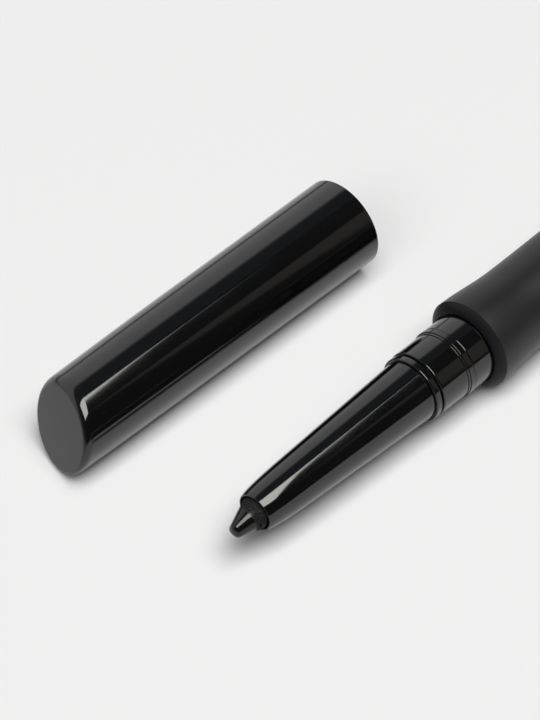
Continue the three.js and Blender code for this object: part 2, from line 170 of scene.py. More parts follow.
@dataclass(frozen=True)
class Lathe:
    """Turns outlines round the X axis into closed meshes."""

    sides: int = 160
    round_steps: int = 6
    guard: float = 1.35           # a guard ring stands this many roundings from its corner
    longest_share: float = 0.45   # of a side, for a rounding's guard ring
    sharp_angle: float = math.radians(38.0)
    weld: float = 1e-5

    def turn(self, outline: list[Corner]) -> BMesh:
        """Turns an outline that closes on itself, or that starts and ends on the axis.

        Args:
            outline: the corners in order.

        Returns:
            a closed mesh with its faces pointing out.
        """
        shape = self._wire(outline)
        geometry = shape.verts[:] + shape.edges[:]
        bmesh.ops.spin(
            shape, geom=geometry, cent=(0, 0, 0), axis=(1, 0, 0),
            angle=2 * math.pi, steps=self.sides, use_merge=True,
        )
        bmesh.ops.remove_doubles(shape, verts=shape.verts[:], dist=self.weld)
        bmesh.ops.dissolve_degenerate(shape, edges=shape.edges[:], dist=self.weld)
        self.settle(shape)
        return shape

    def settle(self, shape: BMesh) -> None:
        """Points the faces out, smooths them and keeps the true corners sharp."""
        bmesh.ops.recalc_face_normals(shape, faces=shape.faces[:])
        for face in shape.faces:
            face.smooth = True
        for edge in shape.edges:
            edge.smooth = edge.calc_face_angle(0.0) < self.sharp_angle

    def _wire(self, outline: list[Corner]) -> BMesh:
        """Lays the outline out as edges and rounds its corners."""
        shape = bmesh.new()
        closed = outline[0].radius > 0.0
        rounded: list[tuple[BMVert, float]] = []
        verts: list[BMVert] = []
        for index, corner in enumerate(outline):
            vert = shape.verts.new(corner.point())
            verts.append(vert)
            if corner.round > 0.0:
                rounded.append((vert, corner.round))
            last = index == len(outline) - 1
            if not last or closed:
                following = outline[0] if last else outline[index + 1]
                verts.extend(shape.verts.new(point) for point in self._guards(corner, following))
        for first, second in zip(verts, verts[1:]):
            shape.edges.new((first, second))
        if closed:
            shape.edges.new((verts[-1], verts[0]))
        for vert, reach in rounded:
            bmesh.ops.bevel(
                shape, geom=[vert], offset=reach, offset_type="OFFSET", segments=self.round_steps,
                profile=0.5, affect="VERTICES", clamp_overlap=False, material=-1,
            )
        return shape

    def _guards(self, start: Corner, end: Corner) -> list[Vector]:
        """Points on a side that keep its shading straight next to a rounded corner."""
        side = end.point() - start.point()
        longest = self.longest_share * side.length
        guards = []
        if start.round > 0.0:
            guards.append(start.point() + side.normalized() * min(longest, self.guard * start.round))
        if end.round > 0.0:
            guards.append(end.point() - side.normalized() * min(longest, self.guard * end.round))
        return guards


def bend(start: Vector, control: Vector, end: Vector, steps: int) -> list[Corner]:
    """Points of a quadratic curve through an outline.

    Args:
        start: first point, place and radius.
        control: the point that the ends' tangents meet in.
        end: last point.
        steps: stretches along the curve.

    Returns:
        the curve's corners with both ends.
    """
    corners = []
    for index in range(steps + 1):
        t = index / steps
        point = start * (1 - t) ** 2 + control * 2 * t * (1 - t) + end * t ** 2
        corners.append(Corner(point.x, point.y))
    return corners


def swell(start: Corner, end: Corner, steps: int) -> list[Corner]:
    """Half a cosine wave between two corners, level at both ends, without the first one."""
    corners = []
    for index in range(1, steps + 1):
        t = index / steps
        rise = (1 - math.cos(math.pi * t)) / 2
        place = start.place + (end.place - start.place) * t
        corners.append(Corner(place, start.radius + (end.radius - start.radius) * rise))
    return corners


# Shader groups that several finishes share


class Effects:
    """Shader node groups for surface effects, each built once and shared."""

    def __init__(self) -> None:
        """Builds the groups."""
        self.reliefs = {
            Relief.WAVINESS: self._relief("mould_waviness", detail=1.0, roughness=0.3),
            Relief.GRAIN: self._relief("fine_grain", detail=3.0, roughness=0.65),
        }
        self.dust = self._dust()
        self.handling = self._handling()

    @staticmethod
    def _group(name: str, inputs: tuple[str, ...], output: str) -> NodeTree:
        """Starts a group with a vector input, named values and one value output.

        Args:
            name: the group's name.
            inputs: names of the values.
            output: name of the output.

        Returns:
            the group with its input and output nodes in place.
        """
        tree = bpy.data.node_groups.new(name, "ShaderNodeTree")
        tree.interface.new_socket(name="Vector", in_out="INPUT", socket_type="NodeSocketVector")
        for label in inputs:
            tree.interface.new_socket(name=label, in_out="INPUT", socket_type="NodeSocketFloat")
        tree.interface.new_socket(name=output, in_out="OUTPUT", socket_type="NodeSocketFloat")
        tree.nodes.new("NodeGroupInput").name = "in"
        tree.nodes.new("NodeGroupOutput").name = "out"
        return tree

    @staticmethod
    def _noise(tree: NodeTree, detail: float, roughness: float) -> Node:
        """A noise texture that reads the group's vector and scale."""
        node = tree.nodes.new("ShaderNodeTexNoise")
        node.inputs["Detail"].default_value = detail
        node.inputs["Roughness"].default_value = roughness
        tree.links.new(tree.nodes["in"].outputs["Vector"], node.inputs["Vector"])
        tree.links.new(tree.nodes["in"].outputs["Scale"], node.inputs["Scale"])
        return node

    @staticmethod
    def _range(tree: NodeTree, low: float, high: float) -> Node:
        """A clamped map of low to 0 and high to 1."""
        node = tree.nodes.new("ShaderNodeMapRange")
        node.inputs["From Min"].default_value = low
        node.inputs["From Max"].default_value = high
        return node

    def _relief(self, name: str, detail: float, roughness: float) -> NodeTree:
        """Fine unevenness of one kind."""
        tree = self._group(name, ("Scale",), "Height")
        texture = self._noise(tree, detail, roughness)
        tree.links.new(texture.outputs["Fac"], tree.nodes["out"].inputs["Height"])
        return tree

    def _dust(self) -> NodeTree:
        """Sparse specks of dust."""
        tree = self._group("dust_specks", ("Scale", "Amount"), "Mask")
        cells = tree.nodes.new("ShaderNodeTexVoronoi")
        tree.links.new(tree.nodes["in"].outputs["Vector"], cells.inputs["Vector"])
        tree.links.new(tree.nodes["in"].outputs["Scale"], cells.inputs["Scale"])
        speck = self._range(tree, low=0.10, high=0.05)
        tree.links.new(cells.outputs["Distance"], speck.inputs["Value"])
        patches = self._noise(tree, detail=2.0, roughness=0.6)
        chosen = self._range(tree, low=0.56, high=0.66)
        tree.links.new(patches.outputs["Fac"], chosen.inputs["Value"])
        both = tree.nodes.new("ShaderNodeMath")
        both.operation = "MULTIPLY"
        tree.links.new(speck.outputs["Result"], both.inputs[0])
        tree.links.new(chosen.outputs["Result"], both.inputs[1])
        shown = tree.nodes.new("ShaderNodeMath")
        shown.operation = "MULTIPLY"
        tree.links.new(both.outputs["Value"], shown.inputs[0])
        tree.links.new(tree.nodes["in"].outputs["Amount"], shown.inputs[1])
        tree.links.new(shown.outputs["Value"], tree.nodes["out"].inputs["Mask"])
        return tree

    def _handling(self) -> NodeTree:
        """Faint smears that change the gloss between two roughness values."""
        tree = self._group("handling_smears", ("Scale", "Clean", "Smeared"), "Roughness")
        smear = self._noise(tree, detail=4.0, roughness=0.55)
        chosen = self._range(tree, low=0.42, high=0.72)
        tree.links.new(smear.outputs["Fac"], chosen.inputs["Value"])
        span = tree.nodes.new("ShaderNodeMapRange")
        tree.links.new(chosen.outputs["Result"], span.inputs["Value"])
        tree.links.new(tree.nodes["in"].outputs["Clean"], span.inputs["To Min"])
        tree.links.new(tree.nodes["in"].outputs["Smeared"], span.inputs["To Max"])
        tree.links.new(span.outputs["Result"], tree.nodes["out"].inputs["Roughness"])
        return tree


@dataclass(frozen=True)
class Zone:
    """A part of a surface with its own gloss, blended in between two values of its measure."""

    measure: Measure
    start: float
    full: float
    roughness: float
    specular: float | None = None

    def share(self, tree: NodeTree, place: Node) -> NodeSocket:
        """Builds the zone's mask.

        Args:
            tree: the material's nodes.
            place: its texture coordinates.

        Returns:
            a value of 0 outside the zone and 1 inside.
        """
        parts = tree.nodes.new("ShaderNodeSeparateXYZ")
        blend = tree.nodes.new("ShaderNodeMapRange")
        blend.interpolation_type = "SMOOTHSTEP"
        blend.inputs["From Min"].default_value = self.start
        blend.inputs["From Max"].default_value = self.full
        if self.measure is Measure.PLACE:
            tree.links.new(place.outputs["Object"], parts.inputs["Vector"])
            tree.links.new(parts.outputs["X"], blend.inputs["Value"])
        else:
            tree.links.new(place.outputs["Normal"], parts.inputs["Vector"])
            along = tree.nodes.new("ShaderNodeMath")
            along.operation = "ABSOLUTE"
            tree.links.new(parts.outputs["X"], along.inputs[0])
            tree.links.new(along.outputs["Value"], blend.inputs["Value"])
        return blend.outputs["Result"]


@dataclass(frozen=True)
class Finish:
    """A moulded or coated surface, with grain, dust and smears at its own scale."""

    name: str
    colour: tuple[float, float, float]
    worn_colour: tuple[float, float, float]
    clean_roughness: float
    smeared_roughness: float
    smear_scale: float
    relief: Relief
    relief_scale: float
    relief_depth: float
    dust: float
    dust_scale: float = 900.0
    colour_scale: float = 260.0
    colour_detail: float = 3.0
    refraction: float = 1.5
    specular: float = 0.5
    sheen: float = 0.0
    sheen_roughness: float = 0.5
    zone: Zone | None = None

    def material(self, effects: Effects) -> Material:
        """Builds the finish as shader nodes.

        Args:
            effects: the shared shader groups.

        Returns:
            the new material.
        """
        material = bpy.data.materials.new(self.name)
        material.use_nodes = True
        tree = material.node_tree
        shader = tree.nodes["Principled BSDF"]
        shader.inputs["IOR"].default_value = self.refraction
        shader.inputs["Specular IOR Level"].default_value = self.specular
        shader.inputs["Sheen Weight"].default_value = self.sheen
        shader.inputs["Sheen Roughness"].default_value = self.sheen_roughness
        place = tree.nodes.new("ShaderNodeTexCoord")
        tree.links.new(self._tint(tree, place, effects), shader.inputs["Base Color"])
        rough = self._smears(tree, place, effects)
        if self.zone is not None:
            share = self.zone.share(tree, place)
            rough = self._blend(tree, share, rough, self.zone.roughness)
            if self.zone.specular is not None:
                gloss = self._blend(tree, share, self.specular, self.zone.specular)
                tree.links.new(gloss, shader.inputs["Specular IOR Level"])
        tree.links.new(rough, shader.inputs["Roughness"])
        tree.links.new(self._bump(tree, place, effects), shader.inputs["Normal"])
        return material

    def _tint(
        self, tree: NodeTree, place: Node, effects: Effects,
    ) -> NodeSocket:
        """The colour, worn in patches and with dust on it."""
        tone = tree.nodes.new("ShaderNodeTexNoise")
        tone.inputs["Scale"].default_value = self.colour_scale
        tone.inputs["Detail"].default_value = self.colour_detail
        tree.links.new(place.outputs["Object"], tone.inputs["Vector"])
        colour = tree.nodes.new("ShaderNodeMix")
        colour.data_type = "RGBA"
        colour.inputs["A"].default_value = (*self.colour, 1.0)
        colour.inputs["B"].default_value = (*self.worn_colour, 1.0)
        tree.links.new(tone.outputs["Fac"], colour.inputs["Factor"])
        dust = self._placed(tree, place, effects.dust, self.dust_scale)
        dust.inputs["Amount"].default_value = self.dust
        dusty = tree.nodes.new("ShaderNodeMix")
        dusty.data_type = "RGBA"
        dusty.inputs["B"].default_value = (*DUST_COLOUR, 1.0)
        tree.links.new(dust.outputs["Mask"], dusty.inputs["Factor"])
        tree.links.new(colour.outputs["Result"], dusty.inputs["A"])
        return dusty.outputs["Result"]

    def _smears(
        self, tree: NodeTree, place: Node, effects: Effects,
    ) -> NodeSocket:
        """The roughness, changed a little by handling."""
        smears = self._placed(tree, place, effects.handling, self.smear_scale)
        smears.inputs["Clean"].default_value = self.clean_roughness
        smears.inputs["Smeared"].default_value = self.smeared_roughness
        return smears.outputs["Roughness"]

    def _bump(
        self, tree: NodeTree, place: Node, effects: Effects,
    ) -> NodeSocket:
        """The fine unevenness as a bump."""
        height = self._placed(tree, place, effects.reliefs[self.relief], self.relief_scale)
        bump = tree.nodes.new("ShaderNodeBump")
        bump.inputs["Distance"].default_value = self.relief_depth * MM
        tree.links.new(height.outputs["Height"], bump.inputs["Height"])
        return bump.outputs["Normal"]

    @staticmethod
    def _blend(
        tree: NodeTree,
        share: NodeSocket,
        outside: NodeSocket | float,
        inside: float,
    ) -> NodeSocket:
        """Blends a value of the whole surface into a zone's own."""
        mix = tree.nodes.new("ShaderNodeMix")
        mix.inputs["B"].default_value = inside
        tree.links.new(share, mix.inputs["Factor"])
        if isinstance(outside, float):
            mix.inputs["A"].default_value = outside
        else:
            tree.links.new(outside, mix.inputs["A"])
        return mix.outputs["Result"]

    @staticmethod
    def _placed(
        tree: NodeTree, place: Node, group: NodeTree, scale: float,
    ) -> Node:
        """A copy of a shared group among a material's nodes, in the object's own coordinates."""
        node = tree.nodes.new("ShaderNodeGroup")
        node.node_tree = group
        node.inputs["Scale"].default_value = scale
        tree.links.new(place.outputs["Object"], node.inputs["Vector"])
        return node


FINISHES: dict[Slot, Finish] = {
    Slot.GLOSS_BLACK: Finish(
        name="polished_black", colour=(0.0016, 0.0016, 0.0017), worn_colour=(0.0026, 0.0026, 0.0027),
        clean_roughness=0.08, smeared_roughness=0.11, smear_scale=140.0,
        relief=Relief.WAVINESS, relief_scale=90.0, relief_depth=0.0006,
        dust=0.05, refraction=1.60, zone=Zone(Measure.SQUARENESS, 0.35, 0.92, 0.36),
    ),
    Slot.SOFT_TOUCH_BLACK: Finish(
        name="soft_touch_black", colour=(0.0046, 0.0041, 0.0054), worn_colour=(0.0066, 0.0060, 0.0072),
        clean_roughness=0.46, smeared_roughness=0.42, smear_scale=110.0,
        relief=Relief.GRAIN, relief_scale=8000.0, relief_depth=0.004,
        dust=0.12, refraction=1.48, specular=0.46, sheen=0.045, sheen_roughness=0.4,
        zone=Zone(Measure.SQUARENESS, 0.35, 0.92, 0.5, 0.14),
    ),
    Slot.LEAD_WAX: Finish(
        name="waxy_lead", colour=(0.0024, 0.0024, 0.0026), worn_colour=(0.0046, 0.0042, 0.0044),
        clean_roughness=0.13, smeared_roughness=0.20, smear_scale=500.0,
        relief=Relief.GRAIN, relief_scale=2200.0, relief_depth=0.002,
        dust=0.0, refraction=1.45, specular=0.52, colour_scale=1400.0,
        zone=Zone(Measure.PLACE, MOUTH - 1.45 * MM, MOUTH - 0.95 * MM, 0.6, 0.28),
    ),
    Slot.INNER_BLACK: Finish(
        name="moulded_inner_black", colour=(0.020, 0.020, 0.021), worn_colour=(0.026, 0.026, 0.026),
        clean_roughness=0.38, smeared_roughness=0.5, smear_scale=200.0,
        relief=Relief.GRAIN, relief_scale=5000.0, relief_depth=0.008,
        dust=0.1,
    ),
    Slot.WHITE_ACETAL: Finish(
        name="white_acetal", colour=(0.74, 0.73, 0.69), worn_colour=(0.78, 0.77, 0.74),
        clean_roughness=0.34, smeared_roughness=0.45, smear_scale=200.0,
        relief=Relief.WAVINESS, relief_scale=700.0, relief_depth=0.004,
        dust=0.0,
    ),
    Slot.SEAL_RUBBER: Finish(
        name="dull_rubber", colour=(0.017, 0.017, 0.017), worn_colour=(0.024, 0.023, 0.022),
        clean_roughness=0.72, smeared_roughness=0.85, smear_scale=300.0,
        relief=Relief.GRAIN, relief_scale=4000.0, relief_depth=0.012,
        dust=0.35,
    ),
}


class Palette:
    """The finishes as materials, made once."""

    def __init__(self) -> None:
        """Builds the shared effects and one material for each slot."""
        effects = Effects()
        self.materials = {slot: finish.material(effects) for slot, finish in FINISHES.items()}

    def of(self, slot: Slot) -> Material:
        """The material of a slot."""
        return self.materials[slot]


# Pieces


def set_down(
    shape: BMesh, name: str, seat: Seat, body: Body, slot: Slot, replaced: str, palette: Palette,
) -> None:
    """Makes a turned mesh a dressed piece of the object, with its place in its mesh.

    Args:
        shape: the mesh in millimetres about its axis, used up here.
        name: the piece's name.
        seat: where its axis lies.
        body: the body that it moves with.
        slot: the record's slot for its finish.
        replaced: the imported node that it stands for.
        palette: the finishes.
    """
    bmesh.ops.transform(shape, matrix=seat.matrix(), verts=shape.verts[:])
    mesh = bpy.data.meshes.new(name)
    shape.to_mesh(mesh)
    shape.free()
    piece = bpy.data.objects.new(name, mesh)
    bpy.context.scene.collection.objects.link(piece)
    mesh.materials.append(palette.of(slot))
    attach(piece, body.value)
    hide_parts(replaced)
    log.info("%s: %d faces on %s", name, len(mesh.polygons), body.value)


@dataclass
class Lead:
    """The wax lead, worn to a blunt point that leans, with a crumbled shoulder at the mouth."""

    seat: Seat
    shown: float = 3.4             # tip in front of the mouth
    sleeve: float = 0.12           # unsharpened length in front of the mouth
    shoulder: float = 0.04         # from the sharpened side's foot to the sleeve
    point_step: float = 0.05       # the point starts this far inside the lead's radius
    tip_radius: float = 0.79       # where the blunt end meets the straight side
    tip_length: float = 0.44
    lean: float = 0.40             # shift of the point's two sides
    lean_whole: float = 1.3        # radius from which the ridge keeps its line
    lean_power: float = 1.5
    lean_towards: tuple[float, float, float] = (0.0, -0.83, -0.56)
    point_rings: int = 48
    sleeve_rings: int = 4
    rag_length: float = 1.15       # dull lumpy wax reaches this far from the sharpened side's foot
    rag_fade: float = 0.45
    lump_depth: float = 0.16
    lump_scale: float = 2.4
    grit_depth: float = 0.045
    grit_scale: float = 8.5
    heap: float = 0.18             # wax pushed to the side that the point leans to
    smear_depth: float = 0.003
    smear_scale: float = 2.4
    crumbs: int = 8
    crumb_size: tuple[float, float] = (0.07, 0.15)
    crumb_turns: tuple[float, float] = (-1.55, -2.3)
    crumb_places: tuple[float, float] = (0.25, 1.2)
    crumb_stand: float = 0.4       # share of a crumb's size that stands clear of the side
    crumb_rough: float = 0.45
    crumb_grain: float = 9.0
    size_seed: tuple[float, float, float] = (2.7, 4.5, 1.0)
    place_seed: tuple[float, float, float] = (3.1, 1.5, 6.0)
    lathe: Lathe = field(default_factory=Lathe)

    def build(self, palette: Palette) -> None:
        """Turns the lead, crumbles its shoulder and dresses it."""
        span = self.seat.span("lead_core")
        base = span.front + self.shown - self.sleeve
        shape = self.lathe.turn(self._outline(span, base))
        self._crumble(shape, span, base)
        self._scatter(shape, span, base)
        set_down(shape, "lead_point", self.seat, Body.LEAD, Slot.LEAD_WAX, "lead_core", palette)

    def _outline(self, span: Span, base: float) -> list[Corner]:
        """A blunt end, a straight side and the plain rod."""
        tip = Vector((span.front, 0.0))
        side = Vector((span.front + self.tip_length, self.tip_radius))
        foot = Vector((base, span.radius - self.point_step))
        blunt = side - (foot - side) * (self.tip_length / (base - side.x))
        outline = bend(tip, Vector((span.front, blunt.y)), side, self.point_rings)
        for ring in range(1, self.point_rings + 1):
            point = side.lerp(foot, ring / self.point_rings)
            outline.append(Corner(point.x, point.y))
        for ring in range(self.sleeve_rings + 1):
            t = ring / self.sleeve_rings
            outline.append(Corner(base + self.shoulder + self.sleeve * t, span.radius))
        outline += [Corner(span.rear, span.radius), Corner(span.rear, 0.0)]
        return outline

    def _leaning(self, span: Span, base: float, spot: Vector) -> Vector:
        """How far a spot has shifted: the two sides most, so that the ridge between keeps its line."""
        out = max(0.0, (base - spot.x) / (base - span.front))
        towards = Vector(self.lean_towards)
        radius = max(TINY, math.hypot(spot.y, spot.z))
        side = (towards.y * spot.y + towards.z * spot.z) / radius
        share = 0.5 + (side * side - 0.5) * min(1.0, radius / self.lean_whole)
        return towards * self.lean * share * out ** self.lean_power

    def _crumble(self, shape: BMesh, span: Span, base: float) -> None:
        """Makes the wax next to the mouth lumpy and heaps it on one side, then leans the point."""
        towards = Vector(self.lean_towards).normalized()
        for vert in shape.verts:
            radius = math.hypot(vert.co.y, vert.co.z)
            if vert.co.x > base + self.sleeve:
                continue
            near = min(1.0, max(0.0, (vert.co.x - base + self.rag_length) / self.rag_fade))
            seed = vert.co.copy()
            lump = self.lump_depth * abs(noise.noise(seed * self.lump_scale))
            grit = self.grit_depth * (1.0 + noise.noise(seed * self.grit_scale))
            smear = self.smear_depth * (1.0 + noise.noise(seed * self.smear_scale))
            side = max(0.0, (seed.y * towards.y + seed.z * towards.z) / max(TINY, radius))
            grown = radius + near * (self.heap * side ** 2 - lump - grit) - smear
            scale = max(0.0, min(span.radius, grown)) / max(TINY, radius)
            vert.co.y *= scale
            vert.co.z *= scale
            vert.co += self._leaning(span, base, vert.co)

    def _scatter(self, shape: BMesh, span: Span, base: float) -> None:
        """Leaves crumbs of wax on the heaped side."""
        rise = span.radius - self.point_step - self.tip_radius
        slope = rise / (base - span.front - self.tip_length)
        for crumb in range(self.crumbs):
            turn = self._between(self.crumb_turns, (crumb + 0.5) / self.crumbs)
            size = self._between(self.crumb_size, self._pick(crumb, self.size_seed))
            place = base - self._between(self.crumb_places, self._pick(crumb, self.place_seed))
            side = span.radius + slope * (place - base)
            reach = min(span.radius - size, side + size * self.crumb_stand)
            spot = Vector((place, reach * math.sin(turn), reach * math.cos(turn)))
            spot += self._leaning(span, base, spot)
            made = bmesh.ops.create_icosphere(
                shape, subdivisions=2, radius=size, matrix=Matrix.Translation(spot),
            )
            for vert in made["verts"]:
                uneven = self.crumb_rough * noise.noise(vert.co * self.crumb_grain)
                vert.co = spot + (vert.co - spot) * (1.0 + uneven)
                for face in vert.link_faces:
                    face.smooth = True

    @staticmethod
    def _between(ends: tuple[float, float], share: float) -> float:
        """A value at a share of the way between two ends."""
        return ends[0] + (ends[1] - ends[0]) * share

    @staticmethod
    def _pick(crumb: int, seed: tuple[float, float, float]) -> float:
        """A crumb's own random share."""
        return abs(noise.cell(Vector((crumb * seed[0], seed[1], seed[2]))))


@dataclass
class Nose:
    """The gloss nose: a bullet-shouldered cone, a flange ring and the collar behind it."""

    seat: Seat
    mouth_bore: float = 1.82
    mouth_wall: float = 0.33
    mouth_flare: float = 0.17
    flare_depth: float = 0.4
    lip_round: float = 0.07
    lip_inset: float = 0.3         # share of the rounding by which the lip's corner stands back
    shoulder_length: float = 5.6
    shoulder_wall: float = 0.9
    shoulder_blend: float = 0.8
    shoulder_steps: int = 22
    bore_length: float = 8.2
    guide_bore: float = 2.25
    guide_outer: float = 2.84
    socket_depth: float = 4.55
    ring_edge: float = 0.13
    collar_edge: float = 0.13
    bead_rise: float = 0.17
    bead_front: float = -4.52
    bead_rear: float = -3.54
    bead_edge: float = 0.05
    bead_step: float = 0.28        # length of the small step at the bead's front
    bead_groove: float = 0.07      # narrow groove behind the bead
    rear_rise: float = 0.13
    collar_end: float = -0.6
    stub_radius: float = 3.62
    groove_floor: float = 3.15
    groove_width: float = 0.7
    hidden_edge: float = 0.03
    lathe: Lathe = field(default_factory=Lathe)

    def build(self, palette: Palette) -> None:
        """Turns and dresses the cone, the ring and the collar."""
        for name, node, outline in (
            ("nose_taper", "nose_cone", self._cone(self.seat.span("nose_cone"))),
            ("nose_flange", "nose_ring", self._ring(self.seat.span("nose_ring"))),
            ("nose_grip_collar", "nose_collar", self._collar(self.seat.span("nose_collar"))),
        ):
            shape = self.lathe.turn(outline)
            set_down(shape, name, self.seat, Body.NOSE, Slot.GLOSS_BLACK, node, palette)

    def _cone(self, span: Span) -> list[Corner]:
        """A rounded lip, a bullet shoulder and a long straight taper, bored for the lead."""
        mouth_radius = self.mouth_bore + self.mouth_wall
        shoulder = Vector((span.front + self.shoulder_length, self.mouth_bore + self.shoulder_wall))
        slope = (span.radius - shoulder.y) / (span.rear - shoulder.x)
        control_place = span.front + self.shoulder_blend
        control = Vector((control_place, shoulder.y - slope * (shoulder.x - control_place)))
        start = Vector((span.front + self.lip_round, mouth_radius))
        guide_front = span.rear - self.socket_depth
        bore_step = span.front + self.bore_length
        return [
            Corner(span.front, self.mouth_bore + self.mouth_flare, self.hidden_edge),
            Corner(span.front, mouth_radius - self.lip_round * self.lip_inset, self.lip_round),
            *bend(start, control, shoulder, self.shoulder_steps),
            Corner(span.rear, span.radius, self.hidden_edge),
            Corner(span.rear, self.guide_outer),
            Corner(guide_front, self.guide_outer),
            Corner(guide_front, self.guide_bore),
            Corner(bore_step, self.guide_bore),
            Corner(bore_step, self.mouth_bore),
            Corner(span.front + self.flare_depth, self.mouth_bore),
        ]

    def _ring(self, span: Span) -> list[Corner]:
        """A flange with rounded edges."""
        return [
            Corner(span.front, self.guide_outer),
            Corner(span.front, span.radius, self.ring_edge),
            Corner(span.rear, span.radius, self.ring_edge),
            Corner(span.rear, self.guide_outer),
        ]

    def _collar(self, span: Span) -> list[Corner]:
        """Two cylinders with a snap bead between them, and a stub that turns in the barrel."""
        front_radius = span.radius - self.bead_rise
        rear_radius = front_radius + self.rear_rise
        step_radius = (front_radius + span.radius) / 2
        groove_middle = (self.collar_end + span.rear) / 2
        groove_front = groove_middle - self.groove_width / 2
        groove_rear = groove_middle + self.groove_width / 2
        return [
            Corner(span.front, self.guide_outer),
            Corner(span.front, front_radius, self.collar_edge),
            Corner(self.bead_front, front_radius),
            Corner(self.bead_front, step_radius, self.bead_edge),
            Corner(self.bead_front + self.bead_step, step_radius),
            Corner(self.bead_front + self.bead_step, span.radius, self.bead_edge),
            Corner(self.bead_rear - self.bead_groove, span.radius, self.bead_edge),
            Corner(self.bead_rear, rear_radius - self.bead_groove),
            Corner(self.bead_rear + self.bead_groove, rear_radius, self.bead_edge),
            Corner(self.collar_end, rear_radius, self.collar_edge),
            Corner(self.collar_end, self.stub_radius),
            Corner(groove_front, self.stub_radius),
            Corner(groove_front, self.groove_floor),
            Corner(groove_rear, self.groove_floor),
            Corner(groove_rear, self.stub_radius),
            Corner(span.rear, self.stub_radius),
            Corner(span.rear, self.guide_outer),
        ]


@dataclass
class Barrel:
    """The soft-touch barrel with its flared rim, and the gloss plug in its tail."""

    seat: Seat
    bore: float = 4.25
    lip_bore: float = 4.10         # round the collar's rear end
    lip_rear: float = -0.45
    waist_radius: float = 4.84
    waist: float = 7.5
    belly: float = 38.0
    face_rise: float = 0.75
    face_crown: float = 0.12
    face_steps: int = 8
    mouth_edge: float = 0.1
    rear_edge: float = 0.12
    curve_steps: int = 28
    tail_head: float = 3.0
    tail_round: float = 0.8
    plug_radius: float = 4.21
    plug_bore: float = 3.41
    gate_radius: float = 0.7
    gate_depth: float = 0.12
    hidden_edge: float = 0.03
    lathe: Lathe = field(default_factory=lambda: Lathe(sides=180))

    def build(self, palette: Palette) -> None:
        """Turns and dresses the shell and the tail plug."""
        shell = self.lathe.turn(self._shell(self.seat.span("barrel_shell")))
        set_down(
            shell, "barrel_sleeve", self.seat, Body.BARREL, Slot.SOFT_TOUCH_BLACK, "barrel_shell", palette,
        )
        plug = self.lathe.turn(self._plug(self.seat.span("tail_plug")))
        set_down(plug, "barrel_tail", self.seat, Body.BARREL, Slot.GLOSS_BLACK, "tail_plug", palette)

    def _shell(self, span: Span) -> list[Corner]:
        """A crowned front face, a waist behind the rim and a straight rear body."""
        face_start = Vector((-self.face_rise, self.lip_bore + self.mouth_edge))
        face_end = Vector((0.0, span.radius))
        middle = (face_start + face_end) / 2 - Vector((2 * self.face_crown, 0.0))
        rim = Corner(0.0, span.radius)
        waist = Corner(self.waist, self.waist_radius)
        belly = Corner(self.belly, span.radius)
        return [
            Corner(self.mouth_edge - self.face_rise, self.lip_bore),
            *bend(face_start, middle, face_end, self.face_steps),
            *swell(rim, waist, self.curve_steps),
            *swell(waist, belly, self.curve_steps),
            Corner(span.rear, span.radius, self.rear_edge),
            Corner(span.rear, self.bore),
            Corner(self.lip_rear, self.bore),
            Corner(self.lip_rear, self.lip_bore),
        ]

    def _plug(self, span: Span) -> list[Corner]:
        """A rounded head with a moulding gate's dimple, on a hollow shank."""
        head_front = span.rear - self.tail_head
        gate = self.gate_radius
        return [
            Corner(head_front, 0.0),
            Corner(head_front, self.plug_bore),
            Corner(span.front, self.plug_bore),
            Corner(span.front, self.plug_radius),
            Corner(head_front, self.plug_radius),
            Corner(head_front, span.radius, self.rear_edge),
            Corner(span.rear, span.radius, self.tail_round),
            Corner(span.rear, gate, self.hidden_edge),
            Corner(span.rear - self.gate_depth, gate - self.gate_depth, self.hidden_edge),
            Corner(span.rear - self.gate_depth, 0.0),
        ]


